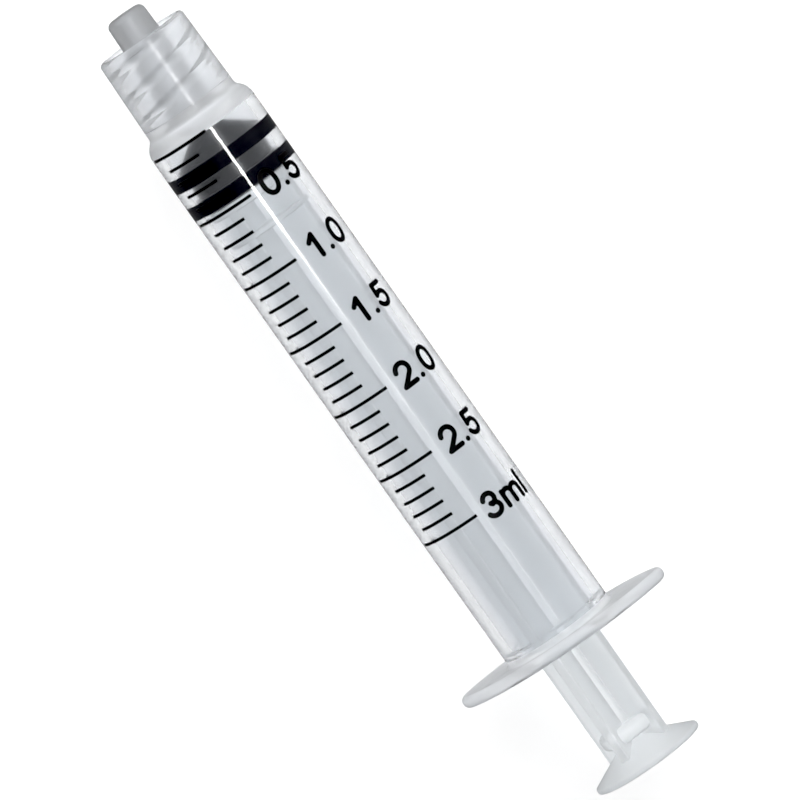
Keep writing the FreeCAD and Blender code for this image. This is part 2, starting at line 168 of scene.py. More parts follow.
class Sum:
    """A number in a node tree. Sums written with it become math nodes."""

    def __init__(self, tree, socket):
        self.tree = tree
        self.socket = socket

    def joined(self, operation, *others):
        node = self.tree.nodes.new("ShaderNodeMath")
        node.operation = operation
        for socket, value in zip(node.inputs, (self, *others)):
            plug(self.tree, value, socket)
        return Sum(self.tree, node.outputs[0])

    def __add__(self, other):
        return self.joined("ADD", other)

    def __sub__(self, other):
        return self.joined("SUBTRACT", other)

    def __mul__(self, other):
        return self.joined("MULTIPLY", other)

    def __truediv__(self, other):
        return self.joined("DIVIDE", other)


def plug(tree, value, socket):
    """Links a node, a socket or a sum to an input, or sets the input to a plain value."""
    if isinstance(value, Sum):
        value = value.socket
    if isinstance(value, bpy.types.Node):
        value = value.outputs[0]
    if isinstance(value, bpy.types.NodeSocket):
        tree.links.new(value, socket)
    else:
        socket.default_value = value


def add(tree, kind, inputs=None, **settings):
    """A new node with its settings, and its inputs by name or number."""
    node = tree.nodes.new(kind)
    for name, value in settings.items():
        setattr(node, name, value)
    for name, value in (inputs or {}).items():
        plug(tree, value, node.inputs[name])
    return node


GEOMETRY = "NodeSocketGeometry"
FLOAT = "NodeSocketFloat"
MATERIAL = "NodeSocketMaterial"
COLOUR = "NodeSocketColor"
TYPE_OF = {float: FLOAT, int: "NodeSocketInt", tuple: COLOUR}


def new_tree(name, kind, inputs, outputs):
    """A node group. Inputs have a name and a default, or a type if they have no default. Gives the
    tree, its inputs by name and its output node."""
    tree = bpy.data.node_groups.new(name, kind)
    for label, default in inputs.items():
        socket_type = TYPE_OF.get(type(default), default)
        socket = tree.interface.new_socket(name=label, in_out="INPUT", socket_type=socket_type)
        if socket_type != default:
            socket.default_value = default
    for label, socket_type in outputs.items():
        tree.interface.new_socket(name=label, in_out="OUTPUT", socket_type=socket_type)
    group = tree.nodes.new("NodeGroupInput")
    given = {socket.name: Sum(tree, socket) for socket in group.outputs if socket.name}
    return tree, given, tree.nodes.new("NodeGroupOutput")


def shape_tree(name, inputs):
    """A geometry tree that puts out a mesh."""
    return new_tree(name, "GeometryNodeTree", inputs, {"Mesh": GEOMETRY})


def kept_tree(name, maker):
    """The node group of that name, made the first time that it is asked for."""
    return bpy.data.node_groups.get(name) or maker(name)


def vector(tree, x=0.0, y=0.0, z=0.0):
    """Three numbers as one vector."""
    return add(tree, "ShaderNodeCombineXYZ", {"X": x, "Y": y, "Z": z})


def stored(tree, name):
    """A number that the section's points carry."""
    node = add(tree, "GeometryNodeInputNamedAttribute", {"Name": name}, data_type="FLOAT")
    return Sum(tree, node.outputs[0])


def joined(tree, *parts):
    """Several meshes as one."""
    node = add(tree, "GeometryNodeJoinGeometry")
    for part in parts:
        plug(tree, part, node.inputs[0])
    return node


def rounded_bar(tree, width, height, rounding, cuts):
    """A rectangle with rounded corners, as a curve."""
    sides = {"Width": width, "Height": height}
    outline = add(tree, "GeometryNodeCurvePrimitiveQuadrilateral", sides, mode="RECTANGLE")
    corners = {"Curve": outline, "Radius": rounding, "Count": cuts}
    return add(tree, "GeometryNodeFilletCurve", corners, mode="POLY")


def coated(tree, geometry, material):
    """The geometry as real faces of one material."""
    real = add(tree, "GeometryNodeRealizeInstances", {"Geometry": geometry})
    return add(tree, "GeometryNodeSetMaterial", {"Geometry": real, "Material": material})


def turned_moulding(name):
    """Sweeps a half section round the axis. Points with a thread weight carry the lock thread, and
    points with a flange weight move out to the flange's oval."""
    body = {"Section": GEOMETRY, "Steps": 96}
    thread = {"Thread spacing": 0.0025, "Thread lead": 0.005, "Thread depth": 0.0}
    flange = {"Flange length": 0.02, "Flange width": 0.01, "Flange end radius": 0.002}
    inputs = {**body, **thread, **flange, **dict.fromkeys(FINISHES, MATERIAL)}
    tree, given, out = shape_tree(name, inputs)

    ring = {"Resolution": given["Steps"], "Radius": 1.0}
    circle = add(tree, "GeometryNodeCurvePrimitiveCircle", ring, mode="RADIUS")
    index = Sum(tree, add(tree, "GeometryNodeInputIndex").outputs[0])
    turn = index * (2 * math.pi) / given["Steps"]
    turns = {"Geometry": circle, "Name": "turn", "Value": turn}
    path = add(tree, "GeometryNodeStoreNamedAttribute", turns, data_type="FLOAT", domain="POINT")
    section = add(tree, "GeometryNodeMeshToCurve", {"Mesh": given["Section"]})
    swept = add(tree, "GeometryNodeCurveToMesh", {"Curve": path, "Profile Curve": section})

    turn = stored(tree, "turn")
    station = stored(tree, "station")
    across = turn.joined("SINE")
    up = turn.joined("COSINE")

    # The ridge is flat on top and slopes to both sides, and runs round as a right-hand screw.
    slope, top, softness = -5.0, 1.3, 0.4
    along = (station + turn * (1 / (2 * math.pi)) * given["Thread lead"]) / given["Thread spacing"]
    flank = (along.joined("FRACT") - 0.5).joined("ABSOLUTE") * slope + top
    ridge = flank.joined("SMOOTH_MIN", 1.0, softness).joined("SMOOTH_MAX", 0.0, softness)
    drop = ridge * given["Thread depth"] * stored(tree, "thread")

    # The oval: two end arcs joined by two side arcs that touch them.
    sideways = across.joined("ABSOLUTE")
    upright = up.joined("ABSOLUTE")
    end_radius = given["Flange end radius"]
    half_width = given["Flange width"] * 0.5
    end_centre = given["Flange length"] * 0.5 - end_radius
    fall = half_width - end_radius
    excess = (end_centre * end_centre - fall * fall) / (fall * 2.0)
    side_radius = excess + half_width
    end_lift = end_centre * upright
    end_depth = (end_radius * end_radius - end_lift * end_lift).joined("MAXIMUM", 0.0).joined("SQRT")
    on_end = end_centre * sideways + end_depth
    side_lift = excess * sideways
    on_side = (side_radius * side_radius - side_lift * side_lift).joined("SQRT") - excess * upright
    share = end_radius / (side_radius - end_radius)
    corner_across = end_centre * (share + 1.0)
    corner_up = excess * share
    past_corner = (upright * corner_across).joined("GREATER_THAN", sideways * corner_up)
    oval = on_side * past_corner + on_end * (past_corner * -1.0 + 1.0)
    spread = (oval - half_width) * stored(tree, "flange")

    radius = stored(tree, "reach") - drop + spread
    place = vector(tree, station + TIP_X, across * radius, up * radius + AXIS_Z)
    moved = add(tree, "GeometryNodeSetPosition", {"Geometry": swept, "Position": place})
    closed = add(tree, "GeometryNodeMergeByDistance", {"Geometry": moved, "Distance": SEAM})
    made = coated(tree, closed, given[FINISHES[0]])
    for place, label in enumerate(FINISHES[1:], start=1):
        chosen = stored(tree, "finish").joined("GREATER_THAN", place - 0.5)
        coat = {"Geometry": made, "Selection": chosen, "Material": given[label]}
        made = add(tree, "GeometryNodeSetMaterial", coat)
    plug(tree, made, out.inputs["Mesh"])
    return tree


def crossed_ribs(name):
    """Two plates with rounded edges that cross on the axis, from one station to another."""
    ends = {"Start": 0.0, "End": 0.01}
    plate_sizes = {"Reach": 0.004, "Rib thickness": 0.001, "Edge round": 0.0002, "Rod turn": 0.0}
    tree, given, out = shape_tree(name, {**ends, **plate_sizes})
    outline = rounded_bar(tree, given["Reach"] * 2.0, given["Rib thickness"], given["Edge round"], 4)
    face = add(tree, "GeometryNodeFillCurve", {"Curve": outline}, mode="NGONS")
    deep = vector(tree, z=given["End"] - given["Start"])
    push = {"Mesh": face, "Offset": deep, "Individual": False}
    plate = add(tree, "GeometryNodeExtrudeMesh", push, mode="FACES")
    back = add(tree, "GeometryNodeFlipFaces", {"Mesh": face})
    solid = joined(tree, plate, back)
    closed = add(tree, "GeometryNodeMergeByDistance", {"Geometry": solid, "Distance": SEAM / 2})
    start = vector(tree, z=given["Start"])
    plates = []
    for quarter in (0.0, math.pi / 2):
        turned = vector(tree, z=given["Rod turn"] + quarter)
        placing = {"Geometry": closed, "Translation": start, "Rotation": turned}
        plates.append(add(tree, "GeometryNodeTransform", placing))
    # Z of the plates becomes the syringe's X.
    lying = {"Translation": (TIP_X, 0.0, AXIS_Z), "Rotation": (0.0, math.pi / 2, 0.0)}
    laid = add(tree, "GeometryNodeTransform", {"Geometry": joined(tree, *plates), **lying})
    plug(tree, laid, out.inputs["Mesh"])
    return tree


def ribbed_rod(name):
    """The rod: its turned head, discs and thumb rest joined with the wide ribs and the tail ribs."""
    body = {"Section": GEOMETRY, "Steps": 96, "Material": MATERIAL}
    stations = {"Ribs start": 0.0, "Ribs meet": 0.01, "Ribs end": 0.02}
    reaches = {"Wide rib reach": 0.004, "Tail rib reach": 0.003}
    ribs = {"Rib thickness": 0.001, "Edge round": 0.0002, "Rod turn": 0.0}
    tree, given, out = shape_tree(name, {**body, **stations, **reaches, **ribs})

    def group(group_name, maker, **chosen):
        """A node group that takes what this tree is given, under the chosen names or the same."""
        node = add(tree, "GeometryNodeGroup", node_tree=kept_tree(group_name, maker))
        for socket in node.inputs:
            source = chosen.get(socket.name, socket.name)
            if source in given:
                plug(tree, given[source], socket)
        return node

    parts = (
        group("turned_moulding", turned_moulding),
        group("crossed_ribs", crossed_ribs, Start="Ribs start", End="Ribs meet", Reach="Wide rib reach"),
        group("crossed_ribs", crossed_ribs, Start="Ribs meet", End="Ribs end", Reach="Tail rib reach"),
    )
    union = add(tree, "GeometryNodeMeshBoolean", operation="UNION", solver="EXACT")
    for part in parts:
        plug(tree, part, union.inputs["Mesh 2"])
    plug(tree, coated(tree, union, given["Material"]), out.inputs["Mesh"])
    return tree


def graduation(name):
    """Curved ink strips on the wall, one at each step along the axis and a long one at every fifth."""
    row = {"Count": 31, "Long every": 5, "First line": 0.01, "Line spacing": 0.001, "Line width": 0.0003}
    coat = {"Barrel radius": 0.005, "Ink height": 0.00003, "Ink root": 0.00001, "Material": MATERIAL}
    turns = {"Scale turn": 0.0, "Long line span": 1.0, "Short line start": 0.3, "Short line span": 0.7}
    tree, given, out = shape_tree(name, {**row, **coat, **turns})
    height = given["Ink height"] + given["Ink root"]
    middle = given["Barrel radius"] + (given["Ink height"] - given["Ink root"]) * 0.5

    def strip(start, span, pieces):
        """An ink strip over an angle, from the top towards -Y, as an instance."""
        sweep = {"Resolution": pieces, "Radius": middle, "Start Angle": start, "Sweep Angle": span}
        bend = add(tree, "GeometryNodeCurveArc", sweep, mode="RADIUS")
        outline = rounded_bar(tree, height, given["Line width"], given["Ink root"], 2)
        solid = {"Curve": bend, "Profile Curve": outline, "Fill Caps": True}
        return add(tree, "GeometryNodeGeometryToInstance", {0: add(tree, "GeometryNodeCurveToMesh", solid)})

    short_line = strip(given["Short line start"] - given["Scale turn"], given["Short line span"], 16)
    long_line = strip(given["Scale turn"] * -1.0, given["Long line span"], 28)
    begin = vector(tree, x=given["First line"] + TIP_X, z=AXIS_Z)
    step = vector(tree, x=given["Line spacing"])
    stops = {"Count": given["Count"], "Start Location": begin, "Offset": step}
    points = add(tree, "GeometryNodeMeshLine", stops, mode="OFFSET")
    index = Sum(tree, add(tree, "GeometryNodeInputIndex").outputs[0])
    is_long = index.joined("MODULO", given["Long every"]).joined("LESS_THAN", 0.5)
    copies = {
        "Points": points,
        "Instance": joined(tree, long_line, short_line),
        "Pick Instance": True,
        "Instance Index": is_long,
        # The arc's X is the top of the wall and its Y is the side away from the numerals.
        "Rotation": (0.0, -math.pi / 2, math.pi),
    }
    placed = add(tree, "GeometryNodeInstanceOnPoints", copies)
    plug(tree, coated(tree, placed, given["Material"]), out.inputs["Mesh"])
    return tree


# Meshes


def apply_modifiers(obj):
    """Leaves what the modifiers make as the object's plain mesh."""
    depsgraph = bpy.context.evaluated_depsgraph_get()
    made = bpy.data.meshes.new_from_object(
        obj.evaluated_get(depsgraph), preserve_all_data_layers=True, depsgraph=depsgraph
    )
    if not made.polygons:
        raise RuntimeError(f"{obj.name} came out empty")
    obj.modifiers.clear()
    before = obj.data
    obj.data = made
    bpy.data.meshes.remove(before)
    made.name = obj.name


def new_object(name, data):
    """An object in the scene with that mesh, light or camera."""
    obj = bpy.data.objects.new(name, data)
    bpy.context.scene.collection.objects.link(obj)
    return obj


def finish_mesh(obj, merge=0.0005 * MM, crease=35.0):
    """Closes seams, turns the faces outward and leaves only real corners sharp."""
    mesh = obj.data
    work = bmesh.new()
    work.from_mesh(mesh)
    bmesh.ops.remove_doubles(work, verts=work.verts, dist=merge)
    bmesh.ops.dissolve_degenerate(work, edges=work.edges, dist=merge)
    bmesh.ops.recalc_face_normals(work, faces=work.faces)
    if work.calc_volume(signed=True) < 0:
        bmesh.ops.reverse_faces(work, faces=work.faces)
    open_edges = [edge for edge in work.edges if not edge.is_manifold]
    work.to_mesh(mesh)
    work.free()
    print(obj.name, len(mesh.polygons), "faces,", len(open_edges), "open edges")
    mesh.shade_smooth()
    mesh.set_sharp_from_angle(angle=math.radians(crease))
    even = obj.modifiers.new("even_shading", "WEIGHTED_NORMAL")
    even.keep_sharp = True
    even.weight = 100
    apply_modifiers(obj)


def run_tree(obj, tree_name, maker, **values):
    """Runs a geometry tree on an object and leaves the result as its finished mesh. Inputs labelled
    as a size in the sidebar take that size, and the values come after."""
    tree = kept_tree(tree_name, maker)
    modifier = obj.modifiers.new(tree_name, "NODES")
    modifier.node_group = tree
    by_name = {item.name: item.identifier for item in tree.interface.items_tree if item.in_out == "INPUT"}
    size = sizes()
    for key, entry in size.bl_rna.properties.items():
        if entry.name in by_name:
            modifier[by_name[entry.name]] = getattr(size, key)
    for name, value in values.items():
        modifier[by_name[name]] = value
    apply_modifiers(obj)
    finish_mesh(obj)


class Section:
    """Half of a turned section: corners in millimetres, each with its own rounding."""

    def __init__(self, closed):
        self.closed = closed
        self.corners = []

    def run(self, finish, *corners, thread=0.0, flange=0.0, steps=6):
        """Adds corners of one finish. Each is its station, its radius and, if it is cut to an arc,
        the arc's radius."""
        for station, radius, *rounding in corners:
            here = Vector((station, radius))
            self.corners.append((here, sum(rounding), (thread, flange, float(finish)), steps))

    def points(self):
        """The outline's points with their weights, each corner cut to an arc that touches both sides."""
        found = []
        count = len(self.corners)
        for n, (here, rounding, weights, steps) in enumerate(self.corners):
            ends = not self.closed and n in (0, count - 1)
            if ends or rounding <= 0:
                found.append((here, weights))
                continue
            before = (self.corners[n - 1][0] - here).normalized()
            after = (self.corners[(n + 1) % count][0] - here).normalized()
            opening = before.angle(after)
            cut = rounding / math.tan(opening / 2)
            centre = here + (before + after).normalized() * (rounding / math.sin(opening / 2))
            start = here + before * cut - centre
            sweep = start.angle_signed(here + after * cut - centre)
            for k in range(steps + 1):
                turned = Matrix.Rotation(-sweep * k / steps, 2) @ start
                found.append((centre + turned, weights))
        return found

    def mesh(self, name, finest=None):
        """The outline as a wire whose points carry station, reach and weights. Runs that carry the
        thread are cut into steps of the finest length."""
        points = self.points()
        nexts = points[1:] + points[:1] if self.closed else points[1:]
        cut = []
        for (here, weights), (there, following) in zip(points, nexts):
            pieces = 1
            if finest and (weights[0] > 0 or following[0] > 0):
                pieces = max(1, math.ceil((there - here).length / finest))
            for k in range(pieces):
                share = k / pieces
                blended = [a + (b - a) * share for a, b in zip(weights, following)]
                cut.append((here.lerp(there, share), blended))
        if not self.closed:
            cut.append(points[-1])
        edges = [(n, n + 1) for n in range(len(cut) - 1)]
        if self.closed:
            edges.append((len(cut) - 1, 0))
        wire = bpy.data.meshes.new(name)
        rows = [(place.x * MM, place.y * MM, *weights) for place, weights in cut]
        wire.from_pydata([(x, y, 0.0) for x, y, *_ in rows], edges, [])
        for label, values in zip(("station", "reach", "thread", "flange", "finish"), zip(*rows)):
            wire.attributes.new(label, "FLOAT", "POINT").data.foreach_set("value", values)
        return wire


# Finishes


def effect_tree(name, inputs):
    """A shader group that puts out what a finish needs, with the place on the object."""
    outputs = {"Colour": COLOUR, "Roughness": FLOAT, "Height": FLOAT}
    tree, given, out = new_tree(name, "ShaderNodeTree", inputs, outputs)
    return tree, given, out, add(tree, "ShaderNodeTexCoord").outputs["Object"]


def stretched(tree, place, share):
    """The place with its way along the syringe shortened, so that a pattern runs long that way."""
    return add(tree, "ShaderNodeMapping", {"Vector": place, "Scale": (share, 1.0, 1.0)})


def noise(tree, place, scale, detail, roughness=0.5):
    """A noise texture's values at a place."""
    inputs = {"Vector": place, "Scale": scale, "Detail": detail, "Roughness": roughness}
    return Sum(tree, add(tree, "ShaderNodeTexNoise", inputs).outputs[0])


def ramp(tree, value, low, high, start=0.0, end=1.0, kind="LINEAR"):
    """Carries a value from one range over to another."""
    inputs = {0: value, 1: low, 2: high, 3: start, 4: end}
    return add(tree, "ShaderNodeMapRange", inputs, interpolation_type=kind)


def mixed(tree, share, first, second):
    """A colour between two others."""
    return add(tree, "ShaderNodeMix", {0: share, 6: first, 7: second}, data_type="RGBA").outputs[2]


def flow_and_haze(name):
    """Moulded plastic: a slow drift between two tints, a haze that comes and goes, faint flow lines
    along the syringe and fine pits."""
    pale = (0.9, 0.9, 0.9, 1.0)
    inputs = {"Tint": pale, "Second tint": pale, "Drift": 120.0, "Clearest": 0.1, "Haziest": 0.2}
    tree, given, out, place = effect_tree(name, inputs)
    along = stretched(tree, place, 0.22)
    drift = noise(tree, along, given["Drift"], 3.0)
    cloud = noise(tree, along, 900.0, 4.0, 0.6)
    flow = noise(tree, stretched(tree, place, 0.02), 1400.0, 2.0)
    pits = noise(tree, place, 5200.0, 2.0)
    plug(tree, mixed(tree, drift, given["Tint"], given["Second tint"]), out.inputs["Colour"])
    rough = ramp(tree, cloud, 0.35, 0.7, given["Clearest"], given["Haziest"])
    plug(tree, rough, out.inputs["Roughness"])
    plug(tree, flow * 0.7 + pits * 0.3, out.inputs["Height"])
    return tree


def fine_grain(name):
    """Rubber and ink: a fine even grain with a little wear that lightens it."""
    tints = {"Colour": (0.01, 0.01, 0.01, 1.0), "Worn colour": (0.03, 0.03, 0.03, 1.0)}
    inputs = {**tints, "Grain": 6000.0, "Smoothest": 0.3, "Roughest": 0.5}
    tree, given, out, place = effect_tree(name, inputs)
    grain = noise(tree, place, given["Grain"], 3.0)
    worn = ramp(tree, noise(tree, place, 700.0, 5.0, 0.65), 0.5, 0.8)
    plug(tree, mixed(tree, worn, given["Colour"], given["Worn colour"]), out.inputs["Colour"])
    rough = ramp(tree, grain, 0.3, 0.7, given["Smoothest"], given["Roughest"])
    plug(tree, rough, out.inputs["Roughness"])
    plug(tree, grain, out.inputs["Height"])
    return tree


def finish(name, group_name, maker, values, relief, shader):
    """A material whose colour, roughness and bump come from a shared group. The relief is its
    strength and its depth."""
    made = bpy.data.materials.new(name)
    made.use_nodes = True
    tree = made.node_tree
    principled = tree.nodes["Principled BSDF"]
    effect = add(tree, "ShaderNodeGroup", values, node_tree=kept_tree(group_name, maker))
    tree.links.new(effect.outputs["Colour"], principled.inputs["Base Color"])
    tree.links.new(effect.outputs["Roughness"], principled.inputs["Roughness"])
    strength, distance = relief
    bump = {"Strength": strength, "Distance": distance, "Height": effect.outputs["Height"]}
    plug(tree, add(tree, "ShaderNodeBump", bump), principled.inputs["Normal"])
    for label, value in shader.items():
        principled.inputs[label].default_value = value
    return made


def shade(base, factor=1.0):
    """A colour that many times as bright."""
    return (base[0] * factor, base[1] * factor, base[2] * factor, 1.0)


def moulded(name, tint, second, haze, transmission, relief, gloss=0.0):
    """Clear plastic: its tint, how bright its second tint is beside it, the range of its haze, the
    share of light that it lets through as a clear body would, its relief and its polished skin."""
    tints = {"Tint": shade(tint), "Second tint": shade(tint, second)}
    values = {**tints, "Clearest": haze[0], "Haziest": haze[1]}
    body = {"IOR": 1.49, "Transmission Weight": transmission}
    skin = {"Coat Weight": gloss, "Coat Roughness": 0.06}
    return finish(name, "flow_and_haze", flow_and_haze, values, (relief, 0.02 * MM), {**body, **skin})


def grained(name, base, worn, roughness, relief, shader, grain=6000.0):
    """Rubber, ink or floor: its colour, the colour of its worn spots, the range of its roughness,
    its relief as strength and depth, inputs of the shader, and how fine its grain is."""
    tints = {"Colour": base, "Worn colour": worn}
    values = {**tints, "Grain": grain, "Smoothest": roughness[0], "Roughest": roughness[1]}
    return finish(name, "fine_grain", fine_grain, values, relief, shader)


def clear_plastic():
    """The tube, which shows what lies in it."""
    return moulded("clear_polypropylene", colours().barrel, 0.985, (0.05, 0.07), 1.0, 0.0015)


def hazy_plastic():
    """The bore and the collar's outside."""
    return moulded("hazy_polypropylene", colours().barrel, 0.97, (0.18, 0.24), 0.94, 0.004)


def milky_plastic():
    """The thick parts of the barrel: the collar's inside, the shoulder and the flange."""
    return moulded("milky_polypropylene", colours().barrel, 0.97, (0.31, 0.37), 0.75, 0.006, gloss=0.2)


def nozzle_plastic():
    """The nozzle, which is dull and greyer than the rest of the barrel."""
    grey = shade(colours().barrel, 0.48)
    return moulded("nozzle_polypropylene", grey, 0.95, (0.40, 0.46), 0.75, 0.02)


def rod_plastic():
    """The plunger rod."""
    return moulded("rod_polypropylene", colours().rod, 0.96, (0.28, 0.34), 0.68, 0.006)


def free_rubber():
    """The piston where nothing touches it."""
    base = colours().rubber
    relief = (0.08, 0.02 * MM)
    return grained("black_rubber", shade(base), shade(base, 2.2), (0.3, 0.42), relief, {"IOR": 1.5})


def pressed_rubber():
    """The piston's ribs. They lie on the bore, so almost no light is mirrored there."""
    base = colours().rubber
    relief = (0.02, 0.02 * MM)
    return grained("pressed_rubber", shade(base, 1.7), shade(base, 2.1), (0.7, 0.8), relief, {"IOR": 1.05})


def ink():
    """The scale's ink, one material for lines and figures."""
    base = colours().ink
    relief = (0.1, 0.01 * MM)
    return bpy.data.materials.get("black_ink") or grained(
        "black_ink", shade(base), shade(base, 2.0), (0.5, 0.7), relief, {"IOR": 1.1}
    )


def floor_paint():
    """The floor's coat, which glows a little so that its far parts stay white."""
    base = colours().floor
    relief = (0.02, 0.1 * MM)
    glow = {"Emission Strength": 0.1}
    return grained("pale_floor", shade(base), shade(base, 0.995), (0.85, 0.95), relief, glow, grain=900.0)


# Pieces


# Stations and radii in millimetres that more than one part of a section uses.
CHANNEL = 1.05
LUER_SLOPE = 0.03
TUBE_START = 12.95
SEAT_FRONT = PISTON_BACK + 0.05
SEAT_BACK = SEAT_FRONT + 0.9
FRONT_DISC = PISTON_BACK + 3.5
REAR_DISC = ROD_END - 15.0
DISC_THICKNESS = 0.5
DISC_RADIUS = 4.305
CORE_RADIUS = 1.2

PISTON_STEPS = 160
ROD_STEPS = 128
LINE_COUNT = 31
LONG_EVERY = 5
# How deep the ink reaches into the wall.
INK_ROOT = 0.01 * MM


class SYRINGE_OT_barrel(bpy.types.Operator):
    """Nozzle, lock collar with its thread, tube and finger flange in one clear moulding"""

    bl_idname = "syringe.barrel"
    bl_label = "Barrel"

    def execute(self, context):
        size = sizes()
        section = Section(closed=True)
        self.front(section, size)
        self.back(section, size)
        obj = new_object("barrel_moulding", section.mesh("barrel_section", finest=0.07))
        plastics = (clear_plastic(), hazy_plastic(), milky_plastic(), nozzle_plastic())
        run_tree(obj, "turned_moulding", turned_moulding, Steps=size.steps, **dict(zip(FINISHES, plastics)))
        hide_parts("barrel")
        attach(obj, "barrel")
        return {"FINISHED"}

    def front(self, section, size):
        """From the nozzle's channel over nozzle, collar and shoulder to the tube."""
        tip_radius = 1.985
        collar_floor = 10.5
        root_radius = tip_radius + LUER_SLOPE * collar_floor
        section.run(DULL, (0, CHANNEL, 0.15))
        section.run(DULL, (0, tip_radius, 0.65), steps=10)
        section.run(DULL, (collar_floor, root_radius, 0.35))

        hole = size.collar_hole / MM
        collar_rim = 2.7
        section.run(MILKY, (collar_floor, hole, 0.25), (collar_floor - 0.6, hole))
        section.run(MILKY, (collar_floor - 1.2, hole), (collar_rim + 0.9, hole), thread=1.0)
        section.run(MILKY, (collar_rim + 0.25, hole), (collar_rim, hole, 0.18))

        outside = size.barrel_radius / MM
        rim_radius, foot_radius = 4.65, 4.82
        shoulder_start, shoulder_end = 11.3, 11.894
        section.run(HAZY, (collar_rim, rim_radius, 0.42), steps=8)
        section.run(MILKY, (shoulder_start - 1, 4.801), (shoulder_start, foot_radius, 0.6))
        section.run(MILKY, (shoulder_end, outside, 1.846), steps=14)
        section.run(MILKY, (TUBE_START - 0.05, outside))
        section.run(CLEAR, (TUBE_START, outside))

    def back(self, section, size):
        """From the tube over the flange, then forward past the bead and through the bore."""
        outside = size.barrel_radius / MM
        bore = size.bore_radius / MM
        half_width = size.flange_width / MM / 2
        flange_front = BARREL_END - size.flange_thickness / MM
        section.run(CLEAR, (flange_front - 0.7, outside))
        section.run(MILKY, (flange_front - 0.65, outside), (flange_front, outside, 0.4))
        rim = ((flange_front, half_width, 0.55), (BARREL_END, half_width, 0.55))
        section.run(MILKY, *rim, flange=1.0, steps=8)

        chamfer = 0.25
        section.run(MILKY, (BARREL_END, bore + chamfer, 0.08))
        section.run(HAZY, (BARREL_END - chamfer, bore, 0.1))

        bead_middle = BARREL_END - 2.1
        bead_height, bead_half = 0.17, 0.4
        cone_back, cone_front = 12.85, 10.224
        section.run(
            HAZY,
            (bead_middle + bead_half, bore, 0.5),
            (bead_middle, bore - bead_height, 0.5),
            (bead_middle - bead_half, bore, 0.5),
            (cone_back, bore, 0.4),
            (cone_front, CHANNEL, 0.4),
        )


class SYRINGE_OT_piston(bpy.types.Operator):
    """Black rubber piston with a coned nose and two ribs that press on the bore"""

    bl_idname = "syringe.piston"
    bl_label = "Piston"

    def execute(self, context):
        section = Section(closed=False)
        self.outside(section, sizes().bore_radius / MM)
        self.cavity(section)
        obj = new_object("piston_rubber", section.mesh("piston_section"))
        free = free_rubber()
        rubbers = (free, pressed_rubber(), free, free)
        run_tree(obj, "turned_moulding", turned_moulding, Steps=PISTON_STEPS, **dict(zip(FINISHES, rubbers)))
        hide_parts("piston")
        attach(obj, "piston")
        return {"FINISHED"}

    def outside(self, section, bore):
        """The coned nose, and the two ribs with the waist between them."""
        rib, waist = 1.5, 1.45
        pressed = bore + 0.015
        free = bore - 0.52
        section.run(FREE, (PISTON_NOSE, 0), (PISTON_NOSE, 1.6, 0.6))
        rear_end = PISTON_BACK - 0.15
        waist_end = rear_end - rib
        waist_start = waist_end - waist
        section.run(PRESSED, (waist_start - rib, pressed, 0.12), (waist_start, pressed, 0.12))
        section.run(FREE, (waist_start, free, 0.12), (waist_end, free, 0.12))
        section.run(PRESSED, (waist_end, pressed, 0.12), (rear_end, pressed, 0.12))
        section.run(FREE, (PISTON_BACK, free, 0.1))

    def cavity(self, section):
        """The hollow that holds the rod's head, behind a narrower throat."""
        throat_radius, socket_radius = 1.9, 2.7
        throat_front = PISTON_BACK - 1.5
        socket_front = throat_front - 2.1
        floor = socket_front - 0.6
        section.run(
            FREE,
            (PISTON_BACK, throat_radius, 0.1),
            (throat_front, throat_radius, 0.1),
            (throat_front, socket_radius, 0.1),
            (socket_front, socket_radius, 0.1),
            (floor, throat_radius, 0.1),
            (floor, 0),
        )


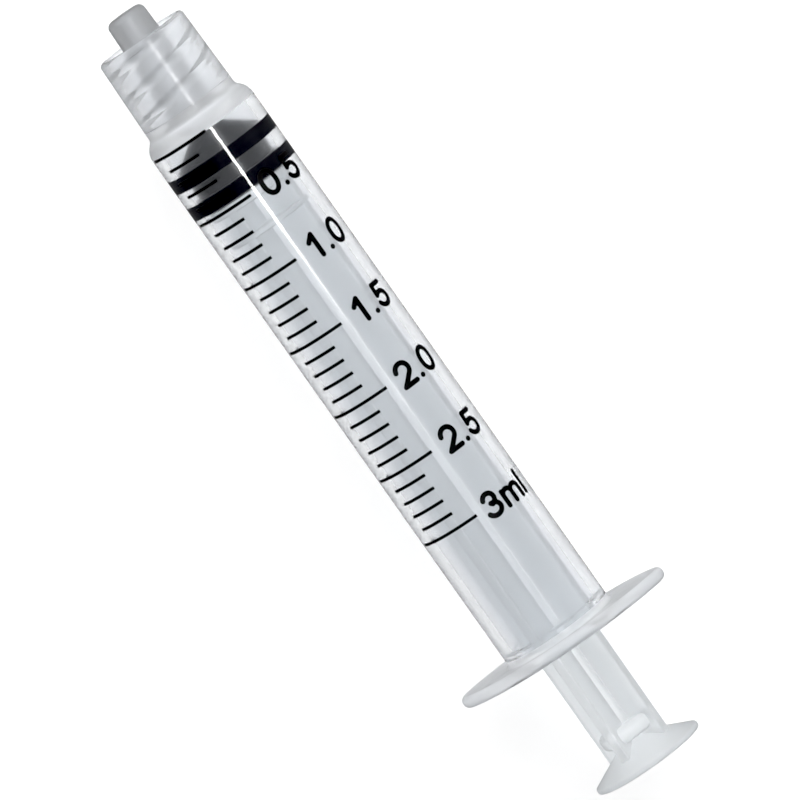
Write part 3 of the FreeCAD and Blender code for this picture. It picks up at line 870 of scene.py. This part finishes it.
class SYRINGE_OT_rod(bpy.types.Operator):
    """Plunger rod: head in the piston, discs, four ribs, web and thumb rest"""

    bl_idname = "syringe.rod"
    bl_label = "Plunger rod"

    def execute(self, context):
        section = Section(closed=False)
        self.head(section)
        self.discs(section)
        self.thumb_rest(section, sizes().thumb_radius / MM)
        obj = new_object("plunger_moulding", section.mesh("rod_section"))
        values = {
            "Steps": ROD_STEPS,
            "Ribs start": (SEAT_FRONT + SEAT_BACK) / 2 * MM,
            "Ribs meet": (REAR_DISC + DISC_THICKNESS / 2) * MM,
            "Ribs end": (ROD_END - 0.25) * MM,
            "Edge round": 0.2 * MM,
            "Material": rod_plastic(),
        }
        run_tree(obj, "ribbed_rod", ribbed_rod, **values)
        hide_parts("plunger_rod")
        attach(obj, "plunger_rod")
        return {"FINISHED"}

    def head(self, section):
        """The coned head and the neck that the piston holds."""
        head_radius, neck_radius = 2.66, 1.86
        head_back = ROD_HEAD + 2.62
        section.run(
            CLEAR,
            (ROD_HEAD, 0),
            (ROD_HEAD, neck_radius, 0.15),
            (ROD_HEAD + 0.6, head_radius, 0.15),
            (head_back, head_radius, 0.12),
            (head_back, neck_radius, 0.12),
            (SEAT_FRONT, neck_radius, 0.1),
        )

    def discs(self, section):
        """The disc behind the piston, the two guide discs and the short web before the thumb rest."""
        section.run(CLEAR, (SEAT_FRONT, DISC_RADIUS, 0.15), (SEAT_BACK, DISC_RADIUS, 0.15))
        section.run(CLEAR, (SEAT_BACK, CORE_RADIUS, 0.15))
        web_radius, web_length = 2.9, 1.6
        rings = (
            (FRONT_DISC, DISC_THICKNESS, DISC_RADIUS, 0.12),
            (REAR_DISC, DISC_THICKNESS, DISC_RADIUS, 0.12),
            (ROD_END - 4.4, web_length, web_radius, 0.55),
        )
        for front, thickness, radius, edge in rings:
            section.run(CLEAR, (front, CORE_RADIUS, 0.1), (front, radius, edge))
            section.run(CLEAR, (front + thickness, radius, edge), (front + thickness, CORE_RADIUS, 0.02))

    def thumb_rest(self, section, radius):
        """A cone that opens to the rest, and the rest's edge and rear face."""
        section.run(CLEAR, (ROD_END - 2.75, CORE_RADIUS, 0.02), (ROD_END - 0.5, radius, 0.2))
        section.run(CLEAR, (ROD_END, radius, 0.22), (ROD_END, 0))


class SYRINGE_OT_scale_lines(bpy.types.Operator):
    """Printed graduation lines, a long one at every half millilitre"""

    bl_idname = "syringe.scale_lines"
    bl_label = "Graduation lines"

    def execute(self, context):
        obj = new_object("scale_lines", bpy.data.meshes.new("scale_lines"))
        values = {"Count": LINE_COUNT, "Long every": LONG_EVERY, "Ink root": INK_ROOT, "Material": ink()}
        run_tree(obj, "graduation", graduation, **values)
        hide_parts("scale_ticks")
        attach(obj, "barrel")
        return {"FINISHED"}


def arc(across, up, half_width, half_height, first, last, steps=14):
    """Points along part of an oval, from one angle to another in degrees."""
    turns = [math.radians(first + (last - first) * k / steps) for k in range(steps + 1)]
    return [(across + half_width * math.cos(t), up + half_height * math.sin(t)) for t in turns]


# Each figure is its width and the paths of the pen, in millimetres for figures 2.71 mm high.
FIGURES = {
    "0": (1.9, [arc(0.95, 1.5, 0.73, 0.99, 0, 180) + arc(0.95, 1.21, 0.73, 0.99, 180, 360) + [(1.68, 1.5)]]),
    "1": (1.9, [[(0.6, 1.86), (1.22, 2.46), (1.22, 0.22)]]),
    "2": (1.9, [arc(0.93, 1.77, 0.72, 0.72, 172, -36) + [(0.28, 0.24), (1.68, 0.24)]]),
    "3": (1.75, [arc(0.82, 1.9, 0.6, 0.59, 165, -80), arc(0.79, 0.84, 0.74, 0.62, 92, -160)]),
    "5": (1.9, [[(1.62, 2.47), (0.44, 2.47)] + arc(0.93, 0.92, 0.75, 0.7, 138, -158)]),
    ".": (0.52, [[(0.25, 0.26), (0.27, 0.28)]]),
    "m": (2.68, [[(0.22, 0.22), (0.22, 1.73)]] + [
        arc(middle, 1.2, 0.56, 0.53, 180, 0) + [(middle + 0.56, 0.22)] for middle in (0.78, 1.9)
    ]),
    "l": (0.44, [[(0.22, 0.22), (0.22, 2.49)]]),
}
FIGURE_HEIGHT = 2.71
PEN_WIDTH = 0.5
NUMBERS = ("0.5", "1.0", "1.5", "2.0", "2.5", "3ml")


def pen_paths(words, gap=0.35):
    """The pen's paths for some words, and how long the words are, in millimetres."""
    left = 0.0
    paths = []
    for letter in words:
        width, strokes = FIGURES[letter]
        paths += [[(left + x, y) for x, y in stroke] for stroke in strokes]
        left += width + gap
    return paths, left - gap


def pen_distance(paths, grid):
    """How far each corner of a grid lies from the pen's paths."""
    starts = np.array([stop for path in paths for stop in path[:-1]])
    ends = np.array([stop for path in paths for stop in path[1:]])
    run = ends - starts
    offset = grid[:, :, None, :] - starts
    share = np.clip((offset * run).sum(-1) / (run * run).sum(-1), 0, 1)
    return np.linalg.norm(offset - share[..., None] * run, axis=-1).min(axis=-1)


def inked(paths, width, cell=0.06):
    """The area that a round pen covers, as points and faces: the distance to the paths is taken at
    the corners of small cells, and each cell is cut where that distance is half the pen's width."""
    stops = np.array([stop for path in paths for stop in path])
    low = stops.min(axis=0) - width
    high = stops.max(axis=0) + width
    count = np.ceil((high - low) / cell).astype(int)
    lines = [low[axis] + cell * np.arange(count[axis] + 1) for axis in (0, 1)]
    grid = np.stack(np.meshgrid(*lines, indexing="ij"), axis=-1)
    depth = width / 2 - pen_distance(paths, grid)
    wet = depth > 0
    points = []
    known = {}

    def point(key, place):
        """The number of a point, which cells that share it use together."""
        if key not in known:
            known[key] = len(points)
            points.append(tuple(place))
        return known[key]

    faces = []
    touched = wet[:-1, :-1] | wet[1:, :-1] | wet[:-1, 1:] | wet[1:, 1:]
    for i, j in zip(*np.nonzero(touched)):
        corners = [(i, j), (i + 1, j), (i + 1, j + 1), (i, j + 1)]
        face = []
        for here, there in zip(corners, corners[1:] + corners[:1]):
            if wet[here]:
                face.append(point(here, grid[here]))
            if wet[here] != wet[there]:
                first, second = sorted((here, there))
                share = depth[first] / (depth[first] - depth[second])
                face.append(point((first, second), grid[first] + (grid[second] - grid[first]) * share))
        faces.append(face)
    return points, faces


class SYRINGE_OT_scale_numbers(bpy.types.Operator):
    """Printed plain numbers beside the long lines, laid round the wall"""

    bl_idname = "syringe.scale_numbers"
    bl_label = "Numbers"

    def execute(self, context):
        size = sizes()
        points = []
        faces = []
        for n, words in enumerate(NUMBERS, start=1):
            station = size.first_line + LONG_EVERY * n * size.line_spacing
            self.add_words(points, faces, words, station, size)
        mesh = bpy.data.meshes.new("scale_numbers")
        mesh.from_pydata(points, [], faces)
        mesh.materials.append(ink())
        obj = new_object("scale_numbers", mesh)
        finish_mesh(obj)
        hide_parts("scale_numerals")
        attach(obj, "barrel")
        return {"FINISHED"}

    def add_words(self, points, faces, words, station, size):
        """Adds the solid ink of some words, centred on a station, to the lists of points and faces."""
        paths, reach = pen_paths(words)
        flat, cells = inked(paths, PEN_WIDTH)
        wall = size.barrel_radius
        # Metres on the wall for each millimetre of the figures' drawing.
        grow = size.numeral_height / FIGURE_HEIGHT
        start = size.scale_turn + size.numeral_middle - reach * grow / wall / 2
        under = len(points)
        over = under + len(flat)
        for radius in (wall - INK_ROOT, wall + size.ink_height):
            for x, y in flat:
                turn = start + x * grow / wall
                along = station + (FIGURE_HEIGHT / 2 - y) * grow
                points.append((TIP_X + along, radius * math.sin(turn), AXIS_Z + radius * math.cos(turn)))
        edges = {(a, b) for face in cells for a, b in zip(face, face[1:] + face[:1])}
        faces += [[over + a for a in face] for face in cells]
        faces += [[under + a for a in reversed(face)] for face in cells]
        faces += [(under + a, under + b, over + b, over + a) for a, b in edges if (b, a) not in edges]


# Stage


class SYRINGE_OT_stage(bpy.types.Operator):
    """Pale floor, soft studio light and the camera"""

    bl_idname = "syringe.stage"
    bl_label = "Stage"

    def execute(self, context):
        self.floor()
        self.sky(context.scene)
        self.lamps()
        self.camera(context.scene)
        self.picture(context.scene)
        return {"FINISHED"}

    def floor(self):
        """A wide sheet just under the syringe."""
        reach, top = 4.0, -0.02 * MM
        corners = [(-reach, -reach), (reach, -reach), (reach, reach), (-reach, reach)]
        mesh = bpy.data.meshes.new("floor")
        mesh.from_pydata([(x, y, top) for x, y in corners], [], [(0, 1, 2, 3)])
        mesh.materials.append(floor_paint())
        floor = new_object("floor", mesh)
        floor.visible_glossy = False

    def sky(self, scene):
        """White all round, a little brighter at the horizon than overhead."""
        horizon, overhead, full_height = 0.16, 0.12, 0.7
        world = bpy.data.worlds.new("studio")
        world.use_nodes = True
        scene.world = world
        tree = world.node_tree
        background = tree.nodes["Background"]
        direction = add(tree, "ShaderNodeTexCoord").outputs["Generated"]
        height = add(tree, "ShaderNodeSeparateXYZ", {0: direction}).outputs["Z"]
        strength = ramp(tree, height, 0.0, full_height, horizon, overhead, "SMOOTHSTEP")
        background.inputs["Color"].default_value = (1.0, 1.0, 1.0, 1.0)
        plug(tree, strength, background.inputs["Strength"])

    def lamps(self):
        """A narrow strip that draws the white line along the barrel, and a softbox on each side that
        lights the floor and shows in no gloss."""
        self.lamp("long_strip", (0.029, 0.431, 1.0), 0.084, 0.10, 0.8)
        for name, side, power in (("left_softbox", -1.0, 21.0), ("right_softbox", 1.0, 35.0)):
            softbox = self.lamp(name, (-0.85, side, 1.0), 2.0, 1.1, power)
            softbox.visible_glossy = False
            softbox.visible_transmission = False

    def lamp(self, name, place, along, across, power):
        """A rectangular light that faces the syringe and casts no shadow."""
        data = bpy.data.lights.new(name, "AREA")
        data.shape = "RECTANGLE"
        data.size = along
        data.size_y = across
        data.energy = power
        data.use_shadow = False
        obj = new_object(name, data)
        obj.location = place
        aim = Vector((0, 0, AXIS_Z)) - Vector(place)
        obj.rotation_mode = "QUATERNION"
        obj.rotation_quaternion = aim.to_track_quat("-Z", "Y")
        return obj

    def camera(self, scene):
        """Looks down on the syringe as in the photograph, which takes in 74.8 mm across."""
        tilt = math.radians(5.6)
        roll = math.radians(12.0)
        slant = math.radians(54.82)
        distance = 1.06
        picture_pixels, pixels_per_mm = 800, 10.7
        width = picture_pixels / pixels_per_mm * MM
        shift_along, shift_across = 1.58 * MM, 0.34 * MM
        back = Vector((-math.sin(tilt), math.cos(tilt) * math.sin(roll), math.cos(tilt) * math.cos(roll)))
        along = Vector((math.cos(tilt), math.sin(tilt) * math.sin(roll), math.sin(tilt) * math.cos(roll)))
        across = Vector((0, math.cos(roll), -math.sin(roll)))
        right = along * math.cos(slant) + across * math.sin(slant)
        up = across * math.cos(slant) - along * math.sin(slant)
        target = Vector((shift_along, 0, AXIS_Z)) + across * shift_across
        data = bpy.data.cameras.new("camera")
        data.lens = data.sensor_width * distance / width
        data.clip_start = 0.1
        data.clip_end = 10.0
        camera = new_object("camera", data)
        turned = Matrix((right, up, back)).transposed().to_4x4()
        camera.matrix_world = Matrix.Translation(target + back * distance) @ turned
        scene.camera = camera

    def picture(self, scene):
        """Plain colours with slightly deeper blacks, and enough bounces for clear walls in a row."""
        view = scene.view_settings
        view.view_transform = "Standard"
        view.use_curve_mapping = True
        view.curve_mapping.black_level = (0.024, 0.024, 0.024)
        view.curve_mapping.update()
        cycles = scene.cycles
        cycles.max_bounces = 32
        cycles.transmission_bounces = 26
        cycles.diffuse_bounces = 5
        cycles.glossy_bounces = 8
        cycles.sample_clamp_indirect = 8.0


class SYRINGE_PT_panel(bpy.types.Panel):
    """Sizes, colours and pieces of the syringe"""

    bl_idname = "SYRINGE_PT_panel"
    bl_label = "Luer lock syringe"
    bl_space_type = "VIEW_3D"
    bl_region_type = "UI"
    bl_category = "Syringe"

    def draw(self, context):
        for group in (context.scene.syringe_sizes, context.scene.syringe_colours):
            box = self.layout.box()
            for name in group.bl_rna.properties.keys():
                if name not in ("rna_type", "name"):
                    box.prop(group, name)
        for operator in PIECES:
            self.layout.operator(operator.bl_idname)


PIECES = (
    SYRINGE_OT_barrel,
    SYRINGE_OT_piston,
    SYRINGE_OT_rod,
    SYRINGE_OT_scale_lines,
    SYRINGE_OT_scale_numbers,
    SYRINGE_OT_stage,
)
CLASSES = (SyringeSizes, SyringeColours, *PIECES, SYRINGE_PT_panel)


def register():
    for cls in CLASSES:
        bpy.utils.register_class(cls)
    bpy.types.Scene.syringe_sizes = bpy.props.PointerProperty(type=SyringeSizes)
    bpy.types.Scene.syringe_colours = bpy.props.PointerProperty(type=SyringeColours)


def unregister():
    del bpy.types.Scene.syringe_colours
    del bpy.types.Scene.syringe_sizes
    for cls in reversed(CLASSES):
        bpy.utils.unregister_class(cls)


def main():
    register()
    bpy.ops.syringe.barrel()
    bpy.ops.syringe.piston()
    bpy.ops.syringe.rod()
    bpy.ops.syringe.scale_lines()
    bpy.ops.syringe.scale_numbers()
    bpy.ops.syringe.stage()


if __name__ == "__main__":
    main()
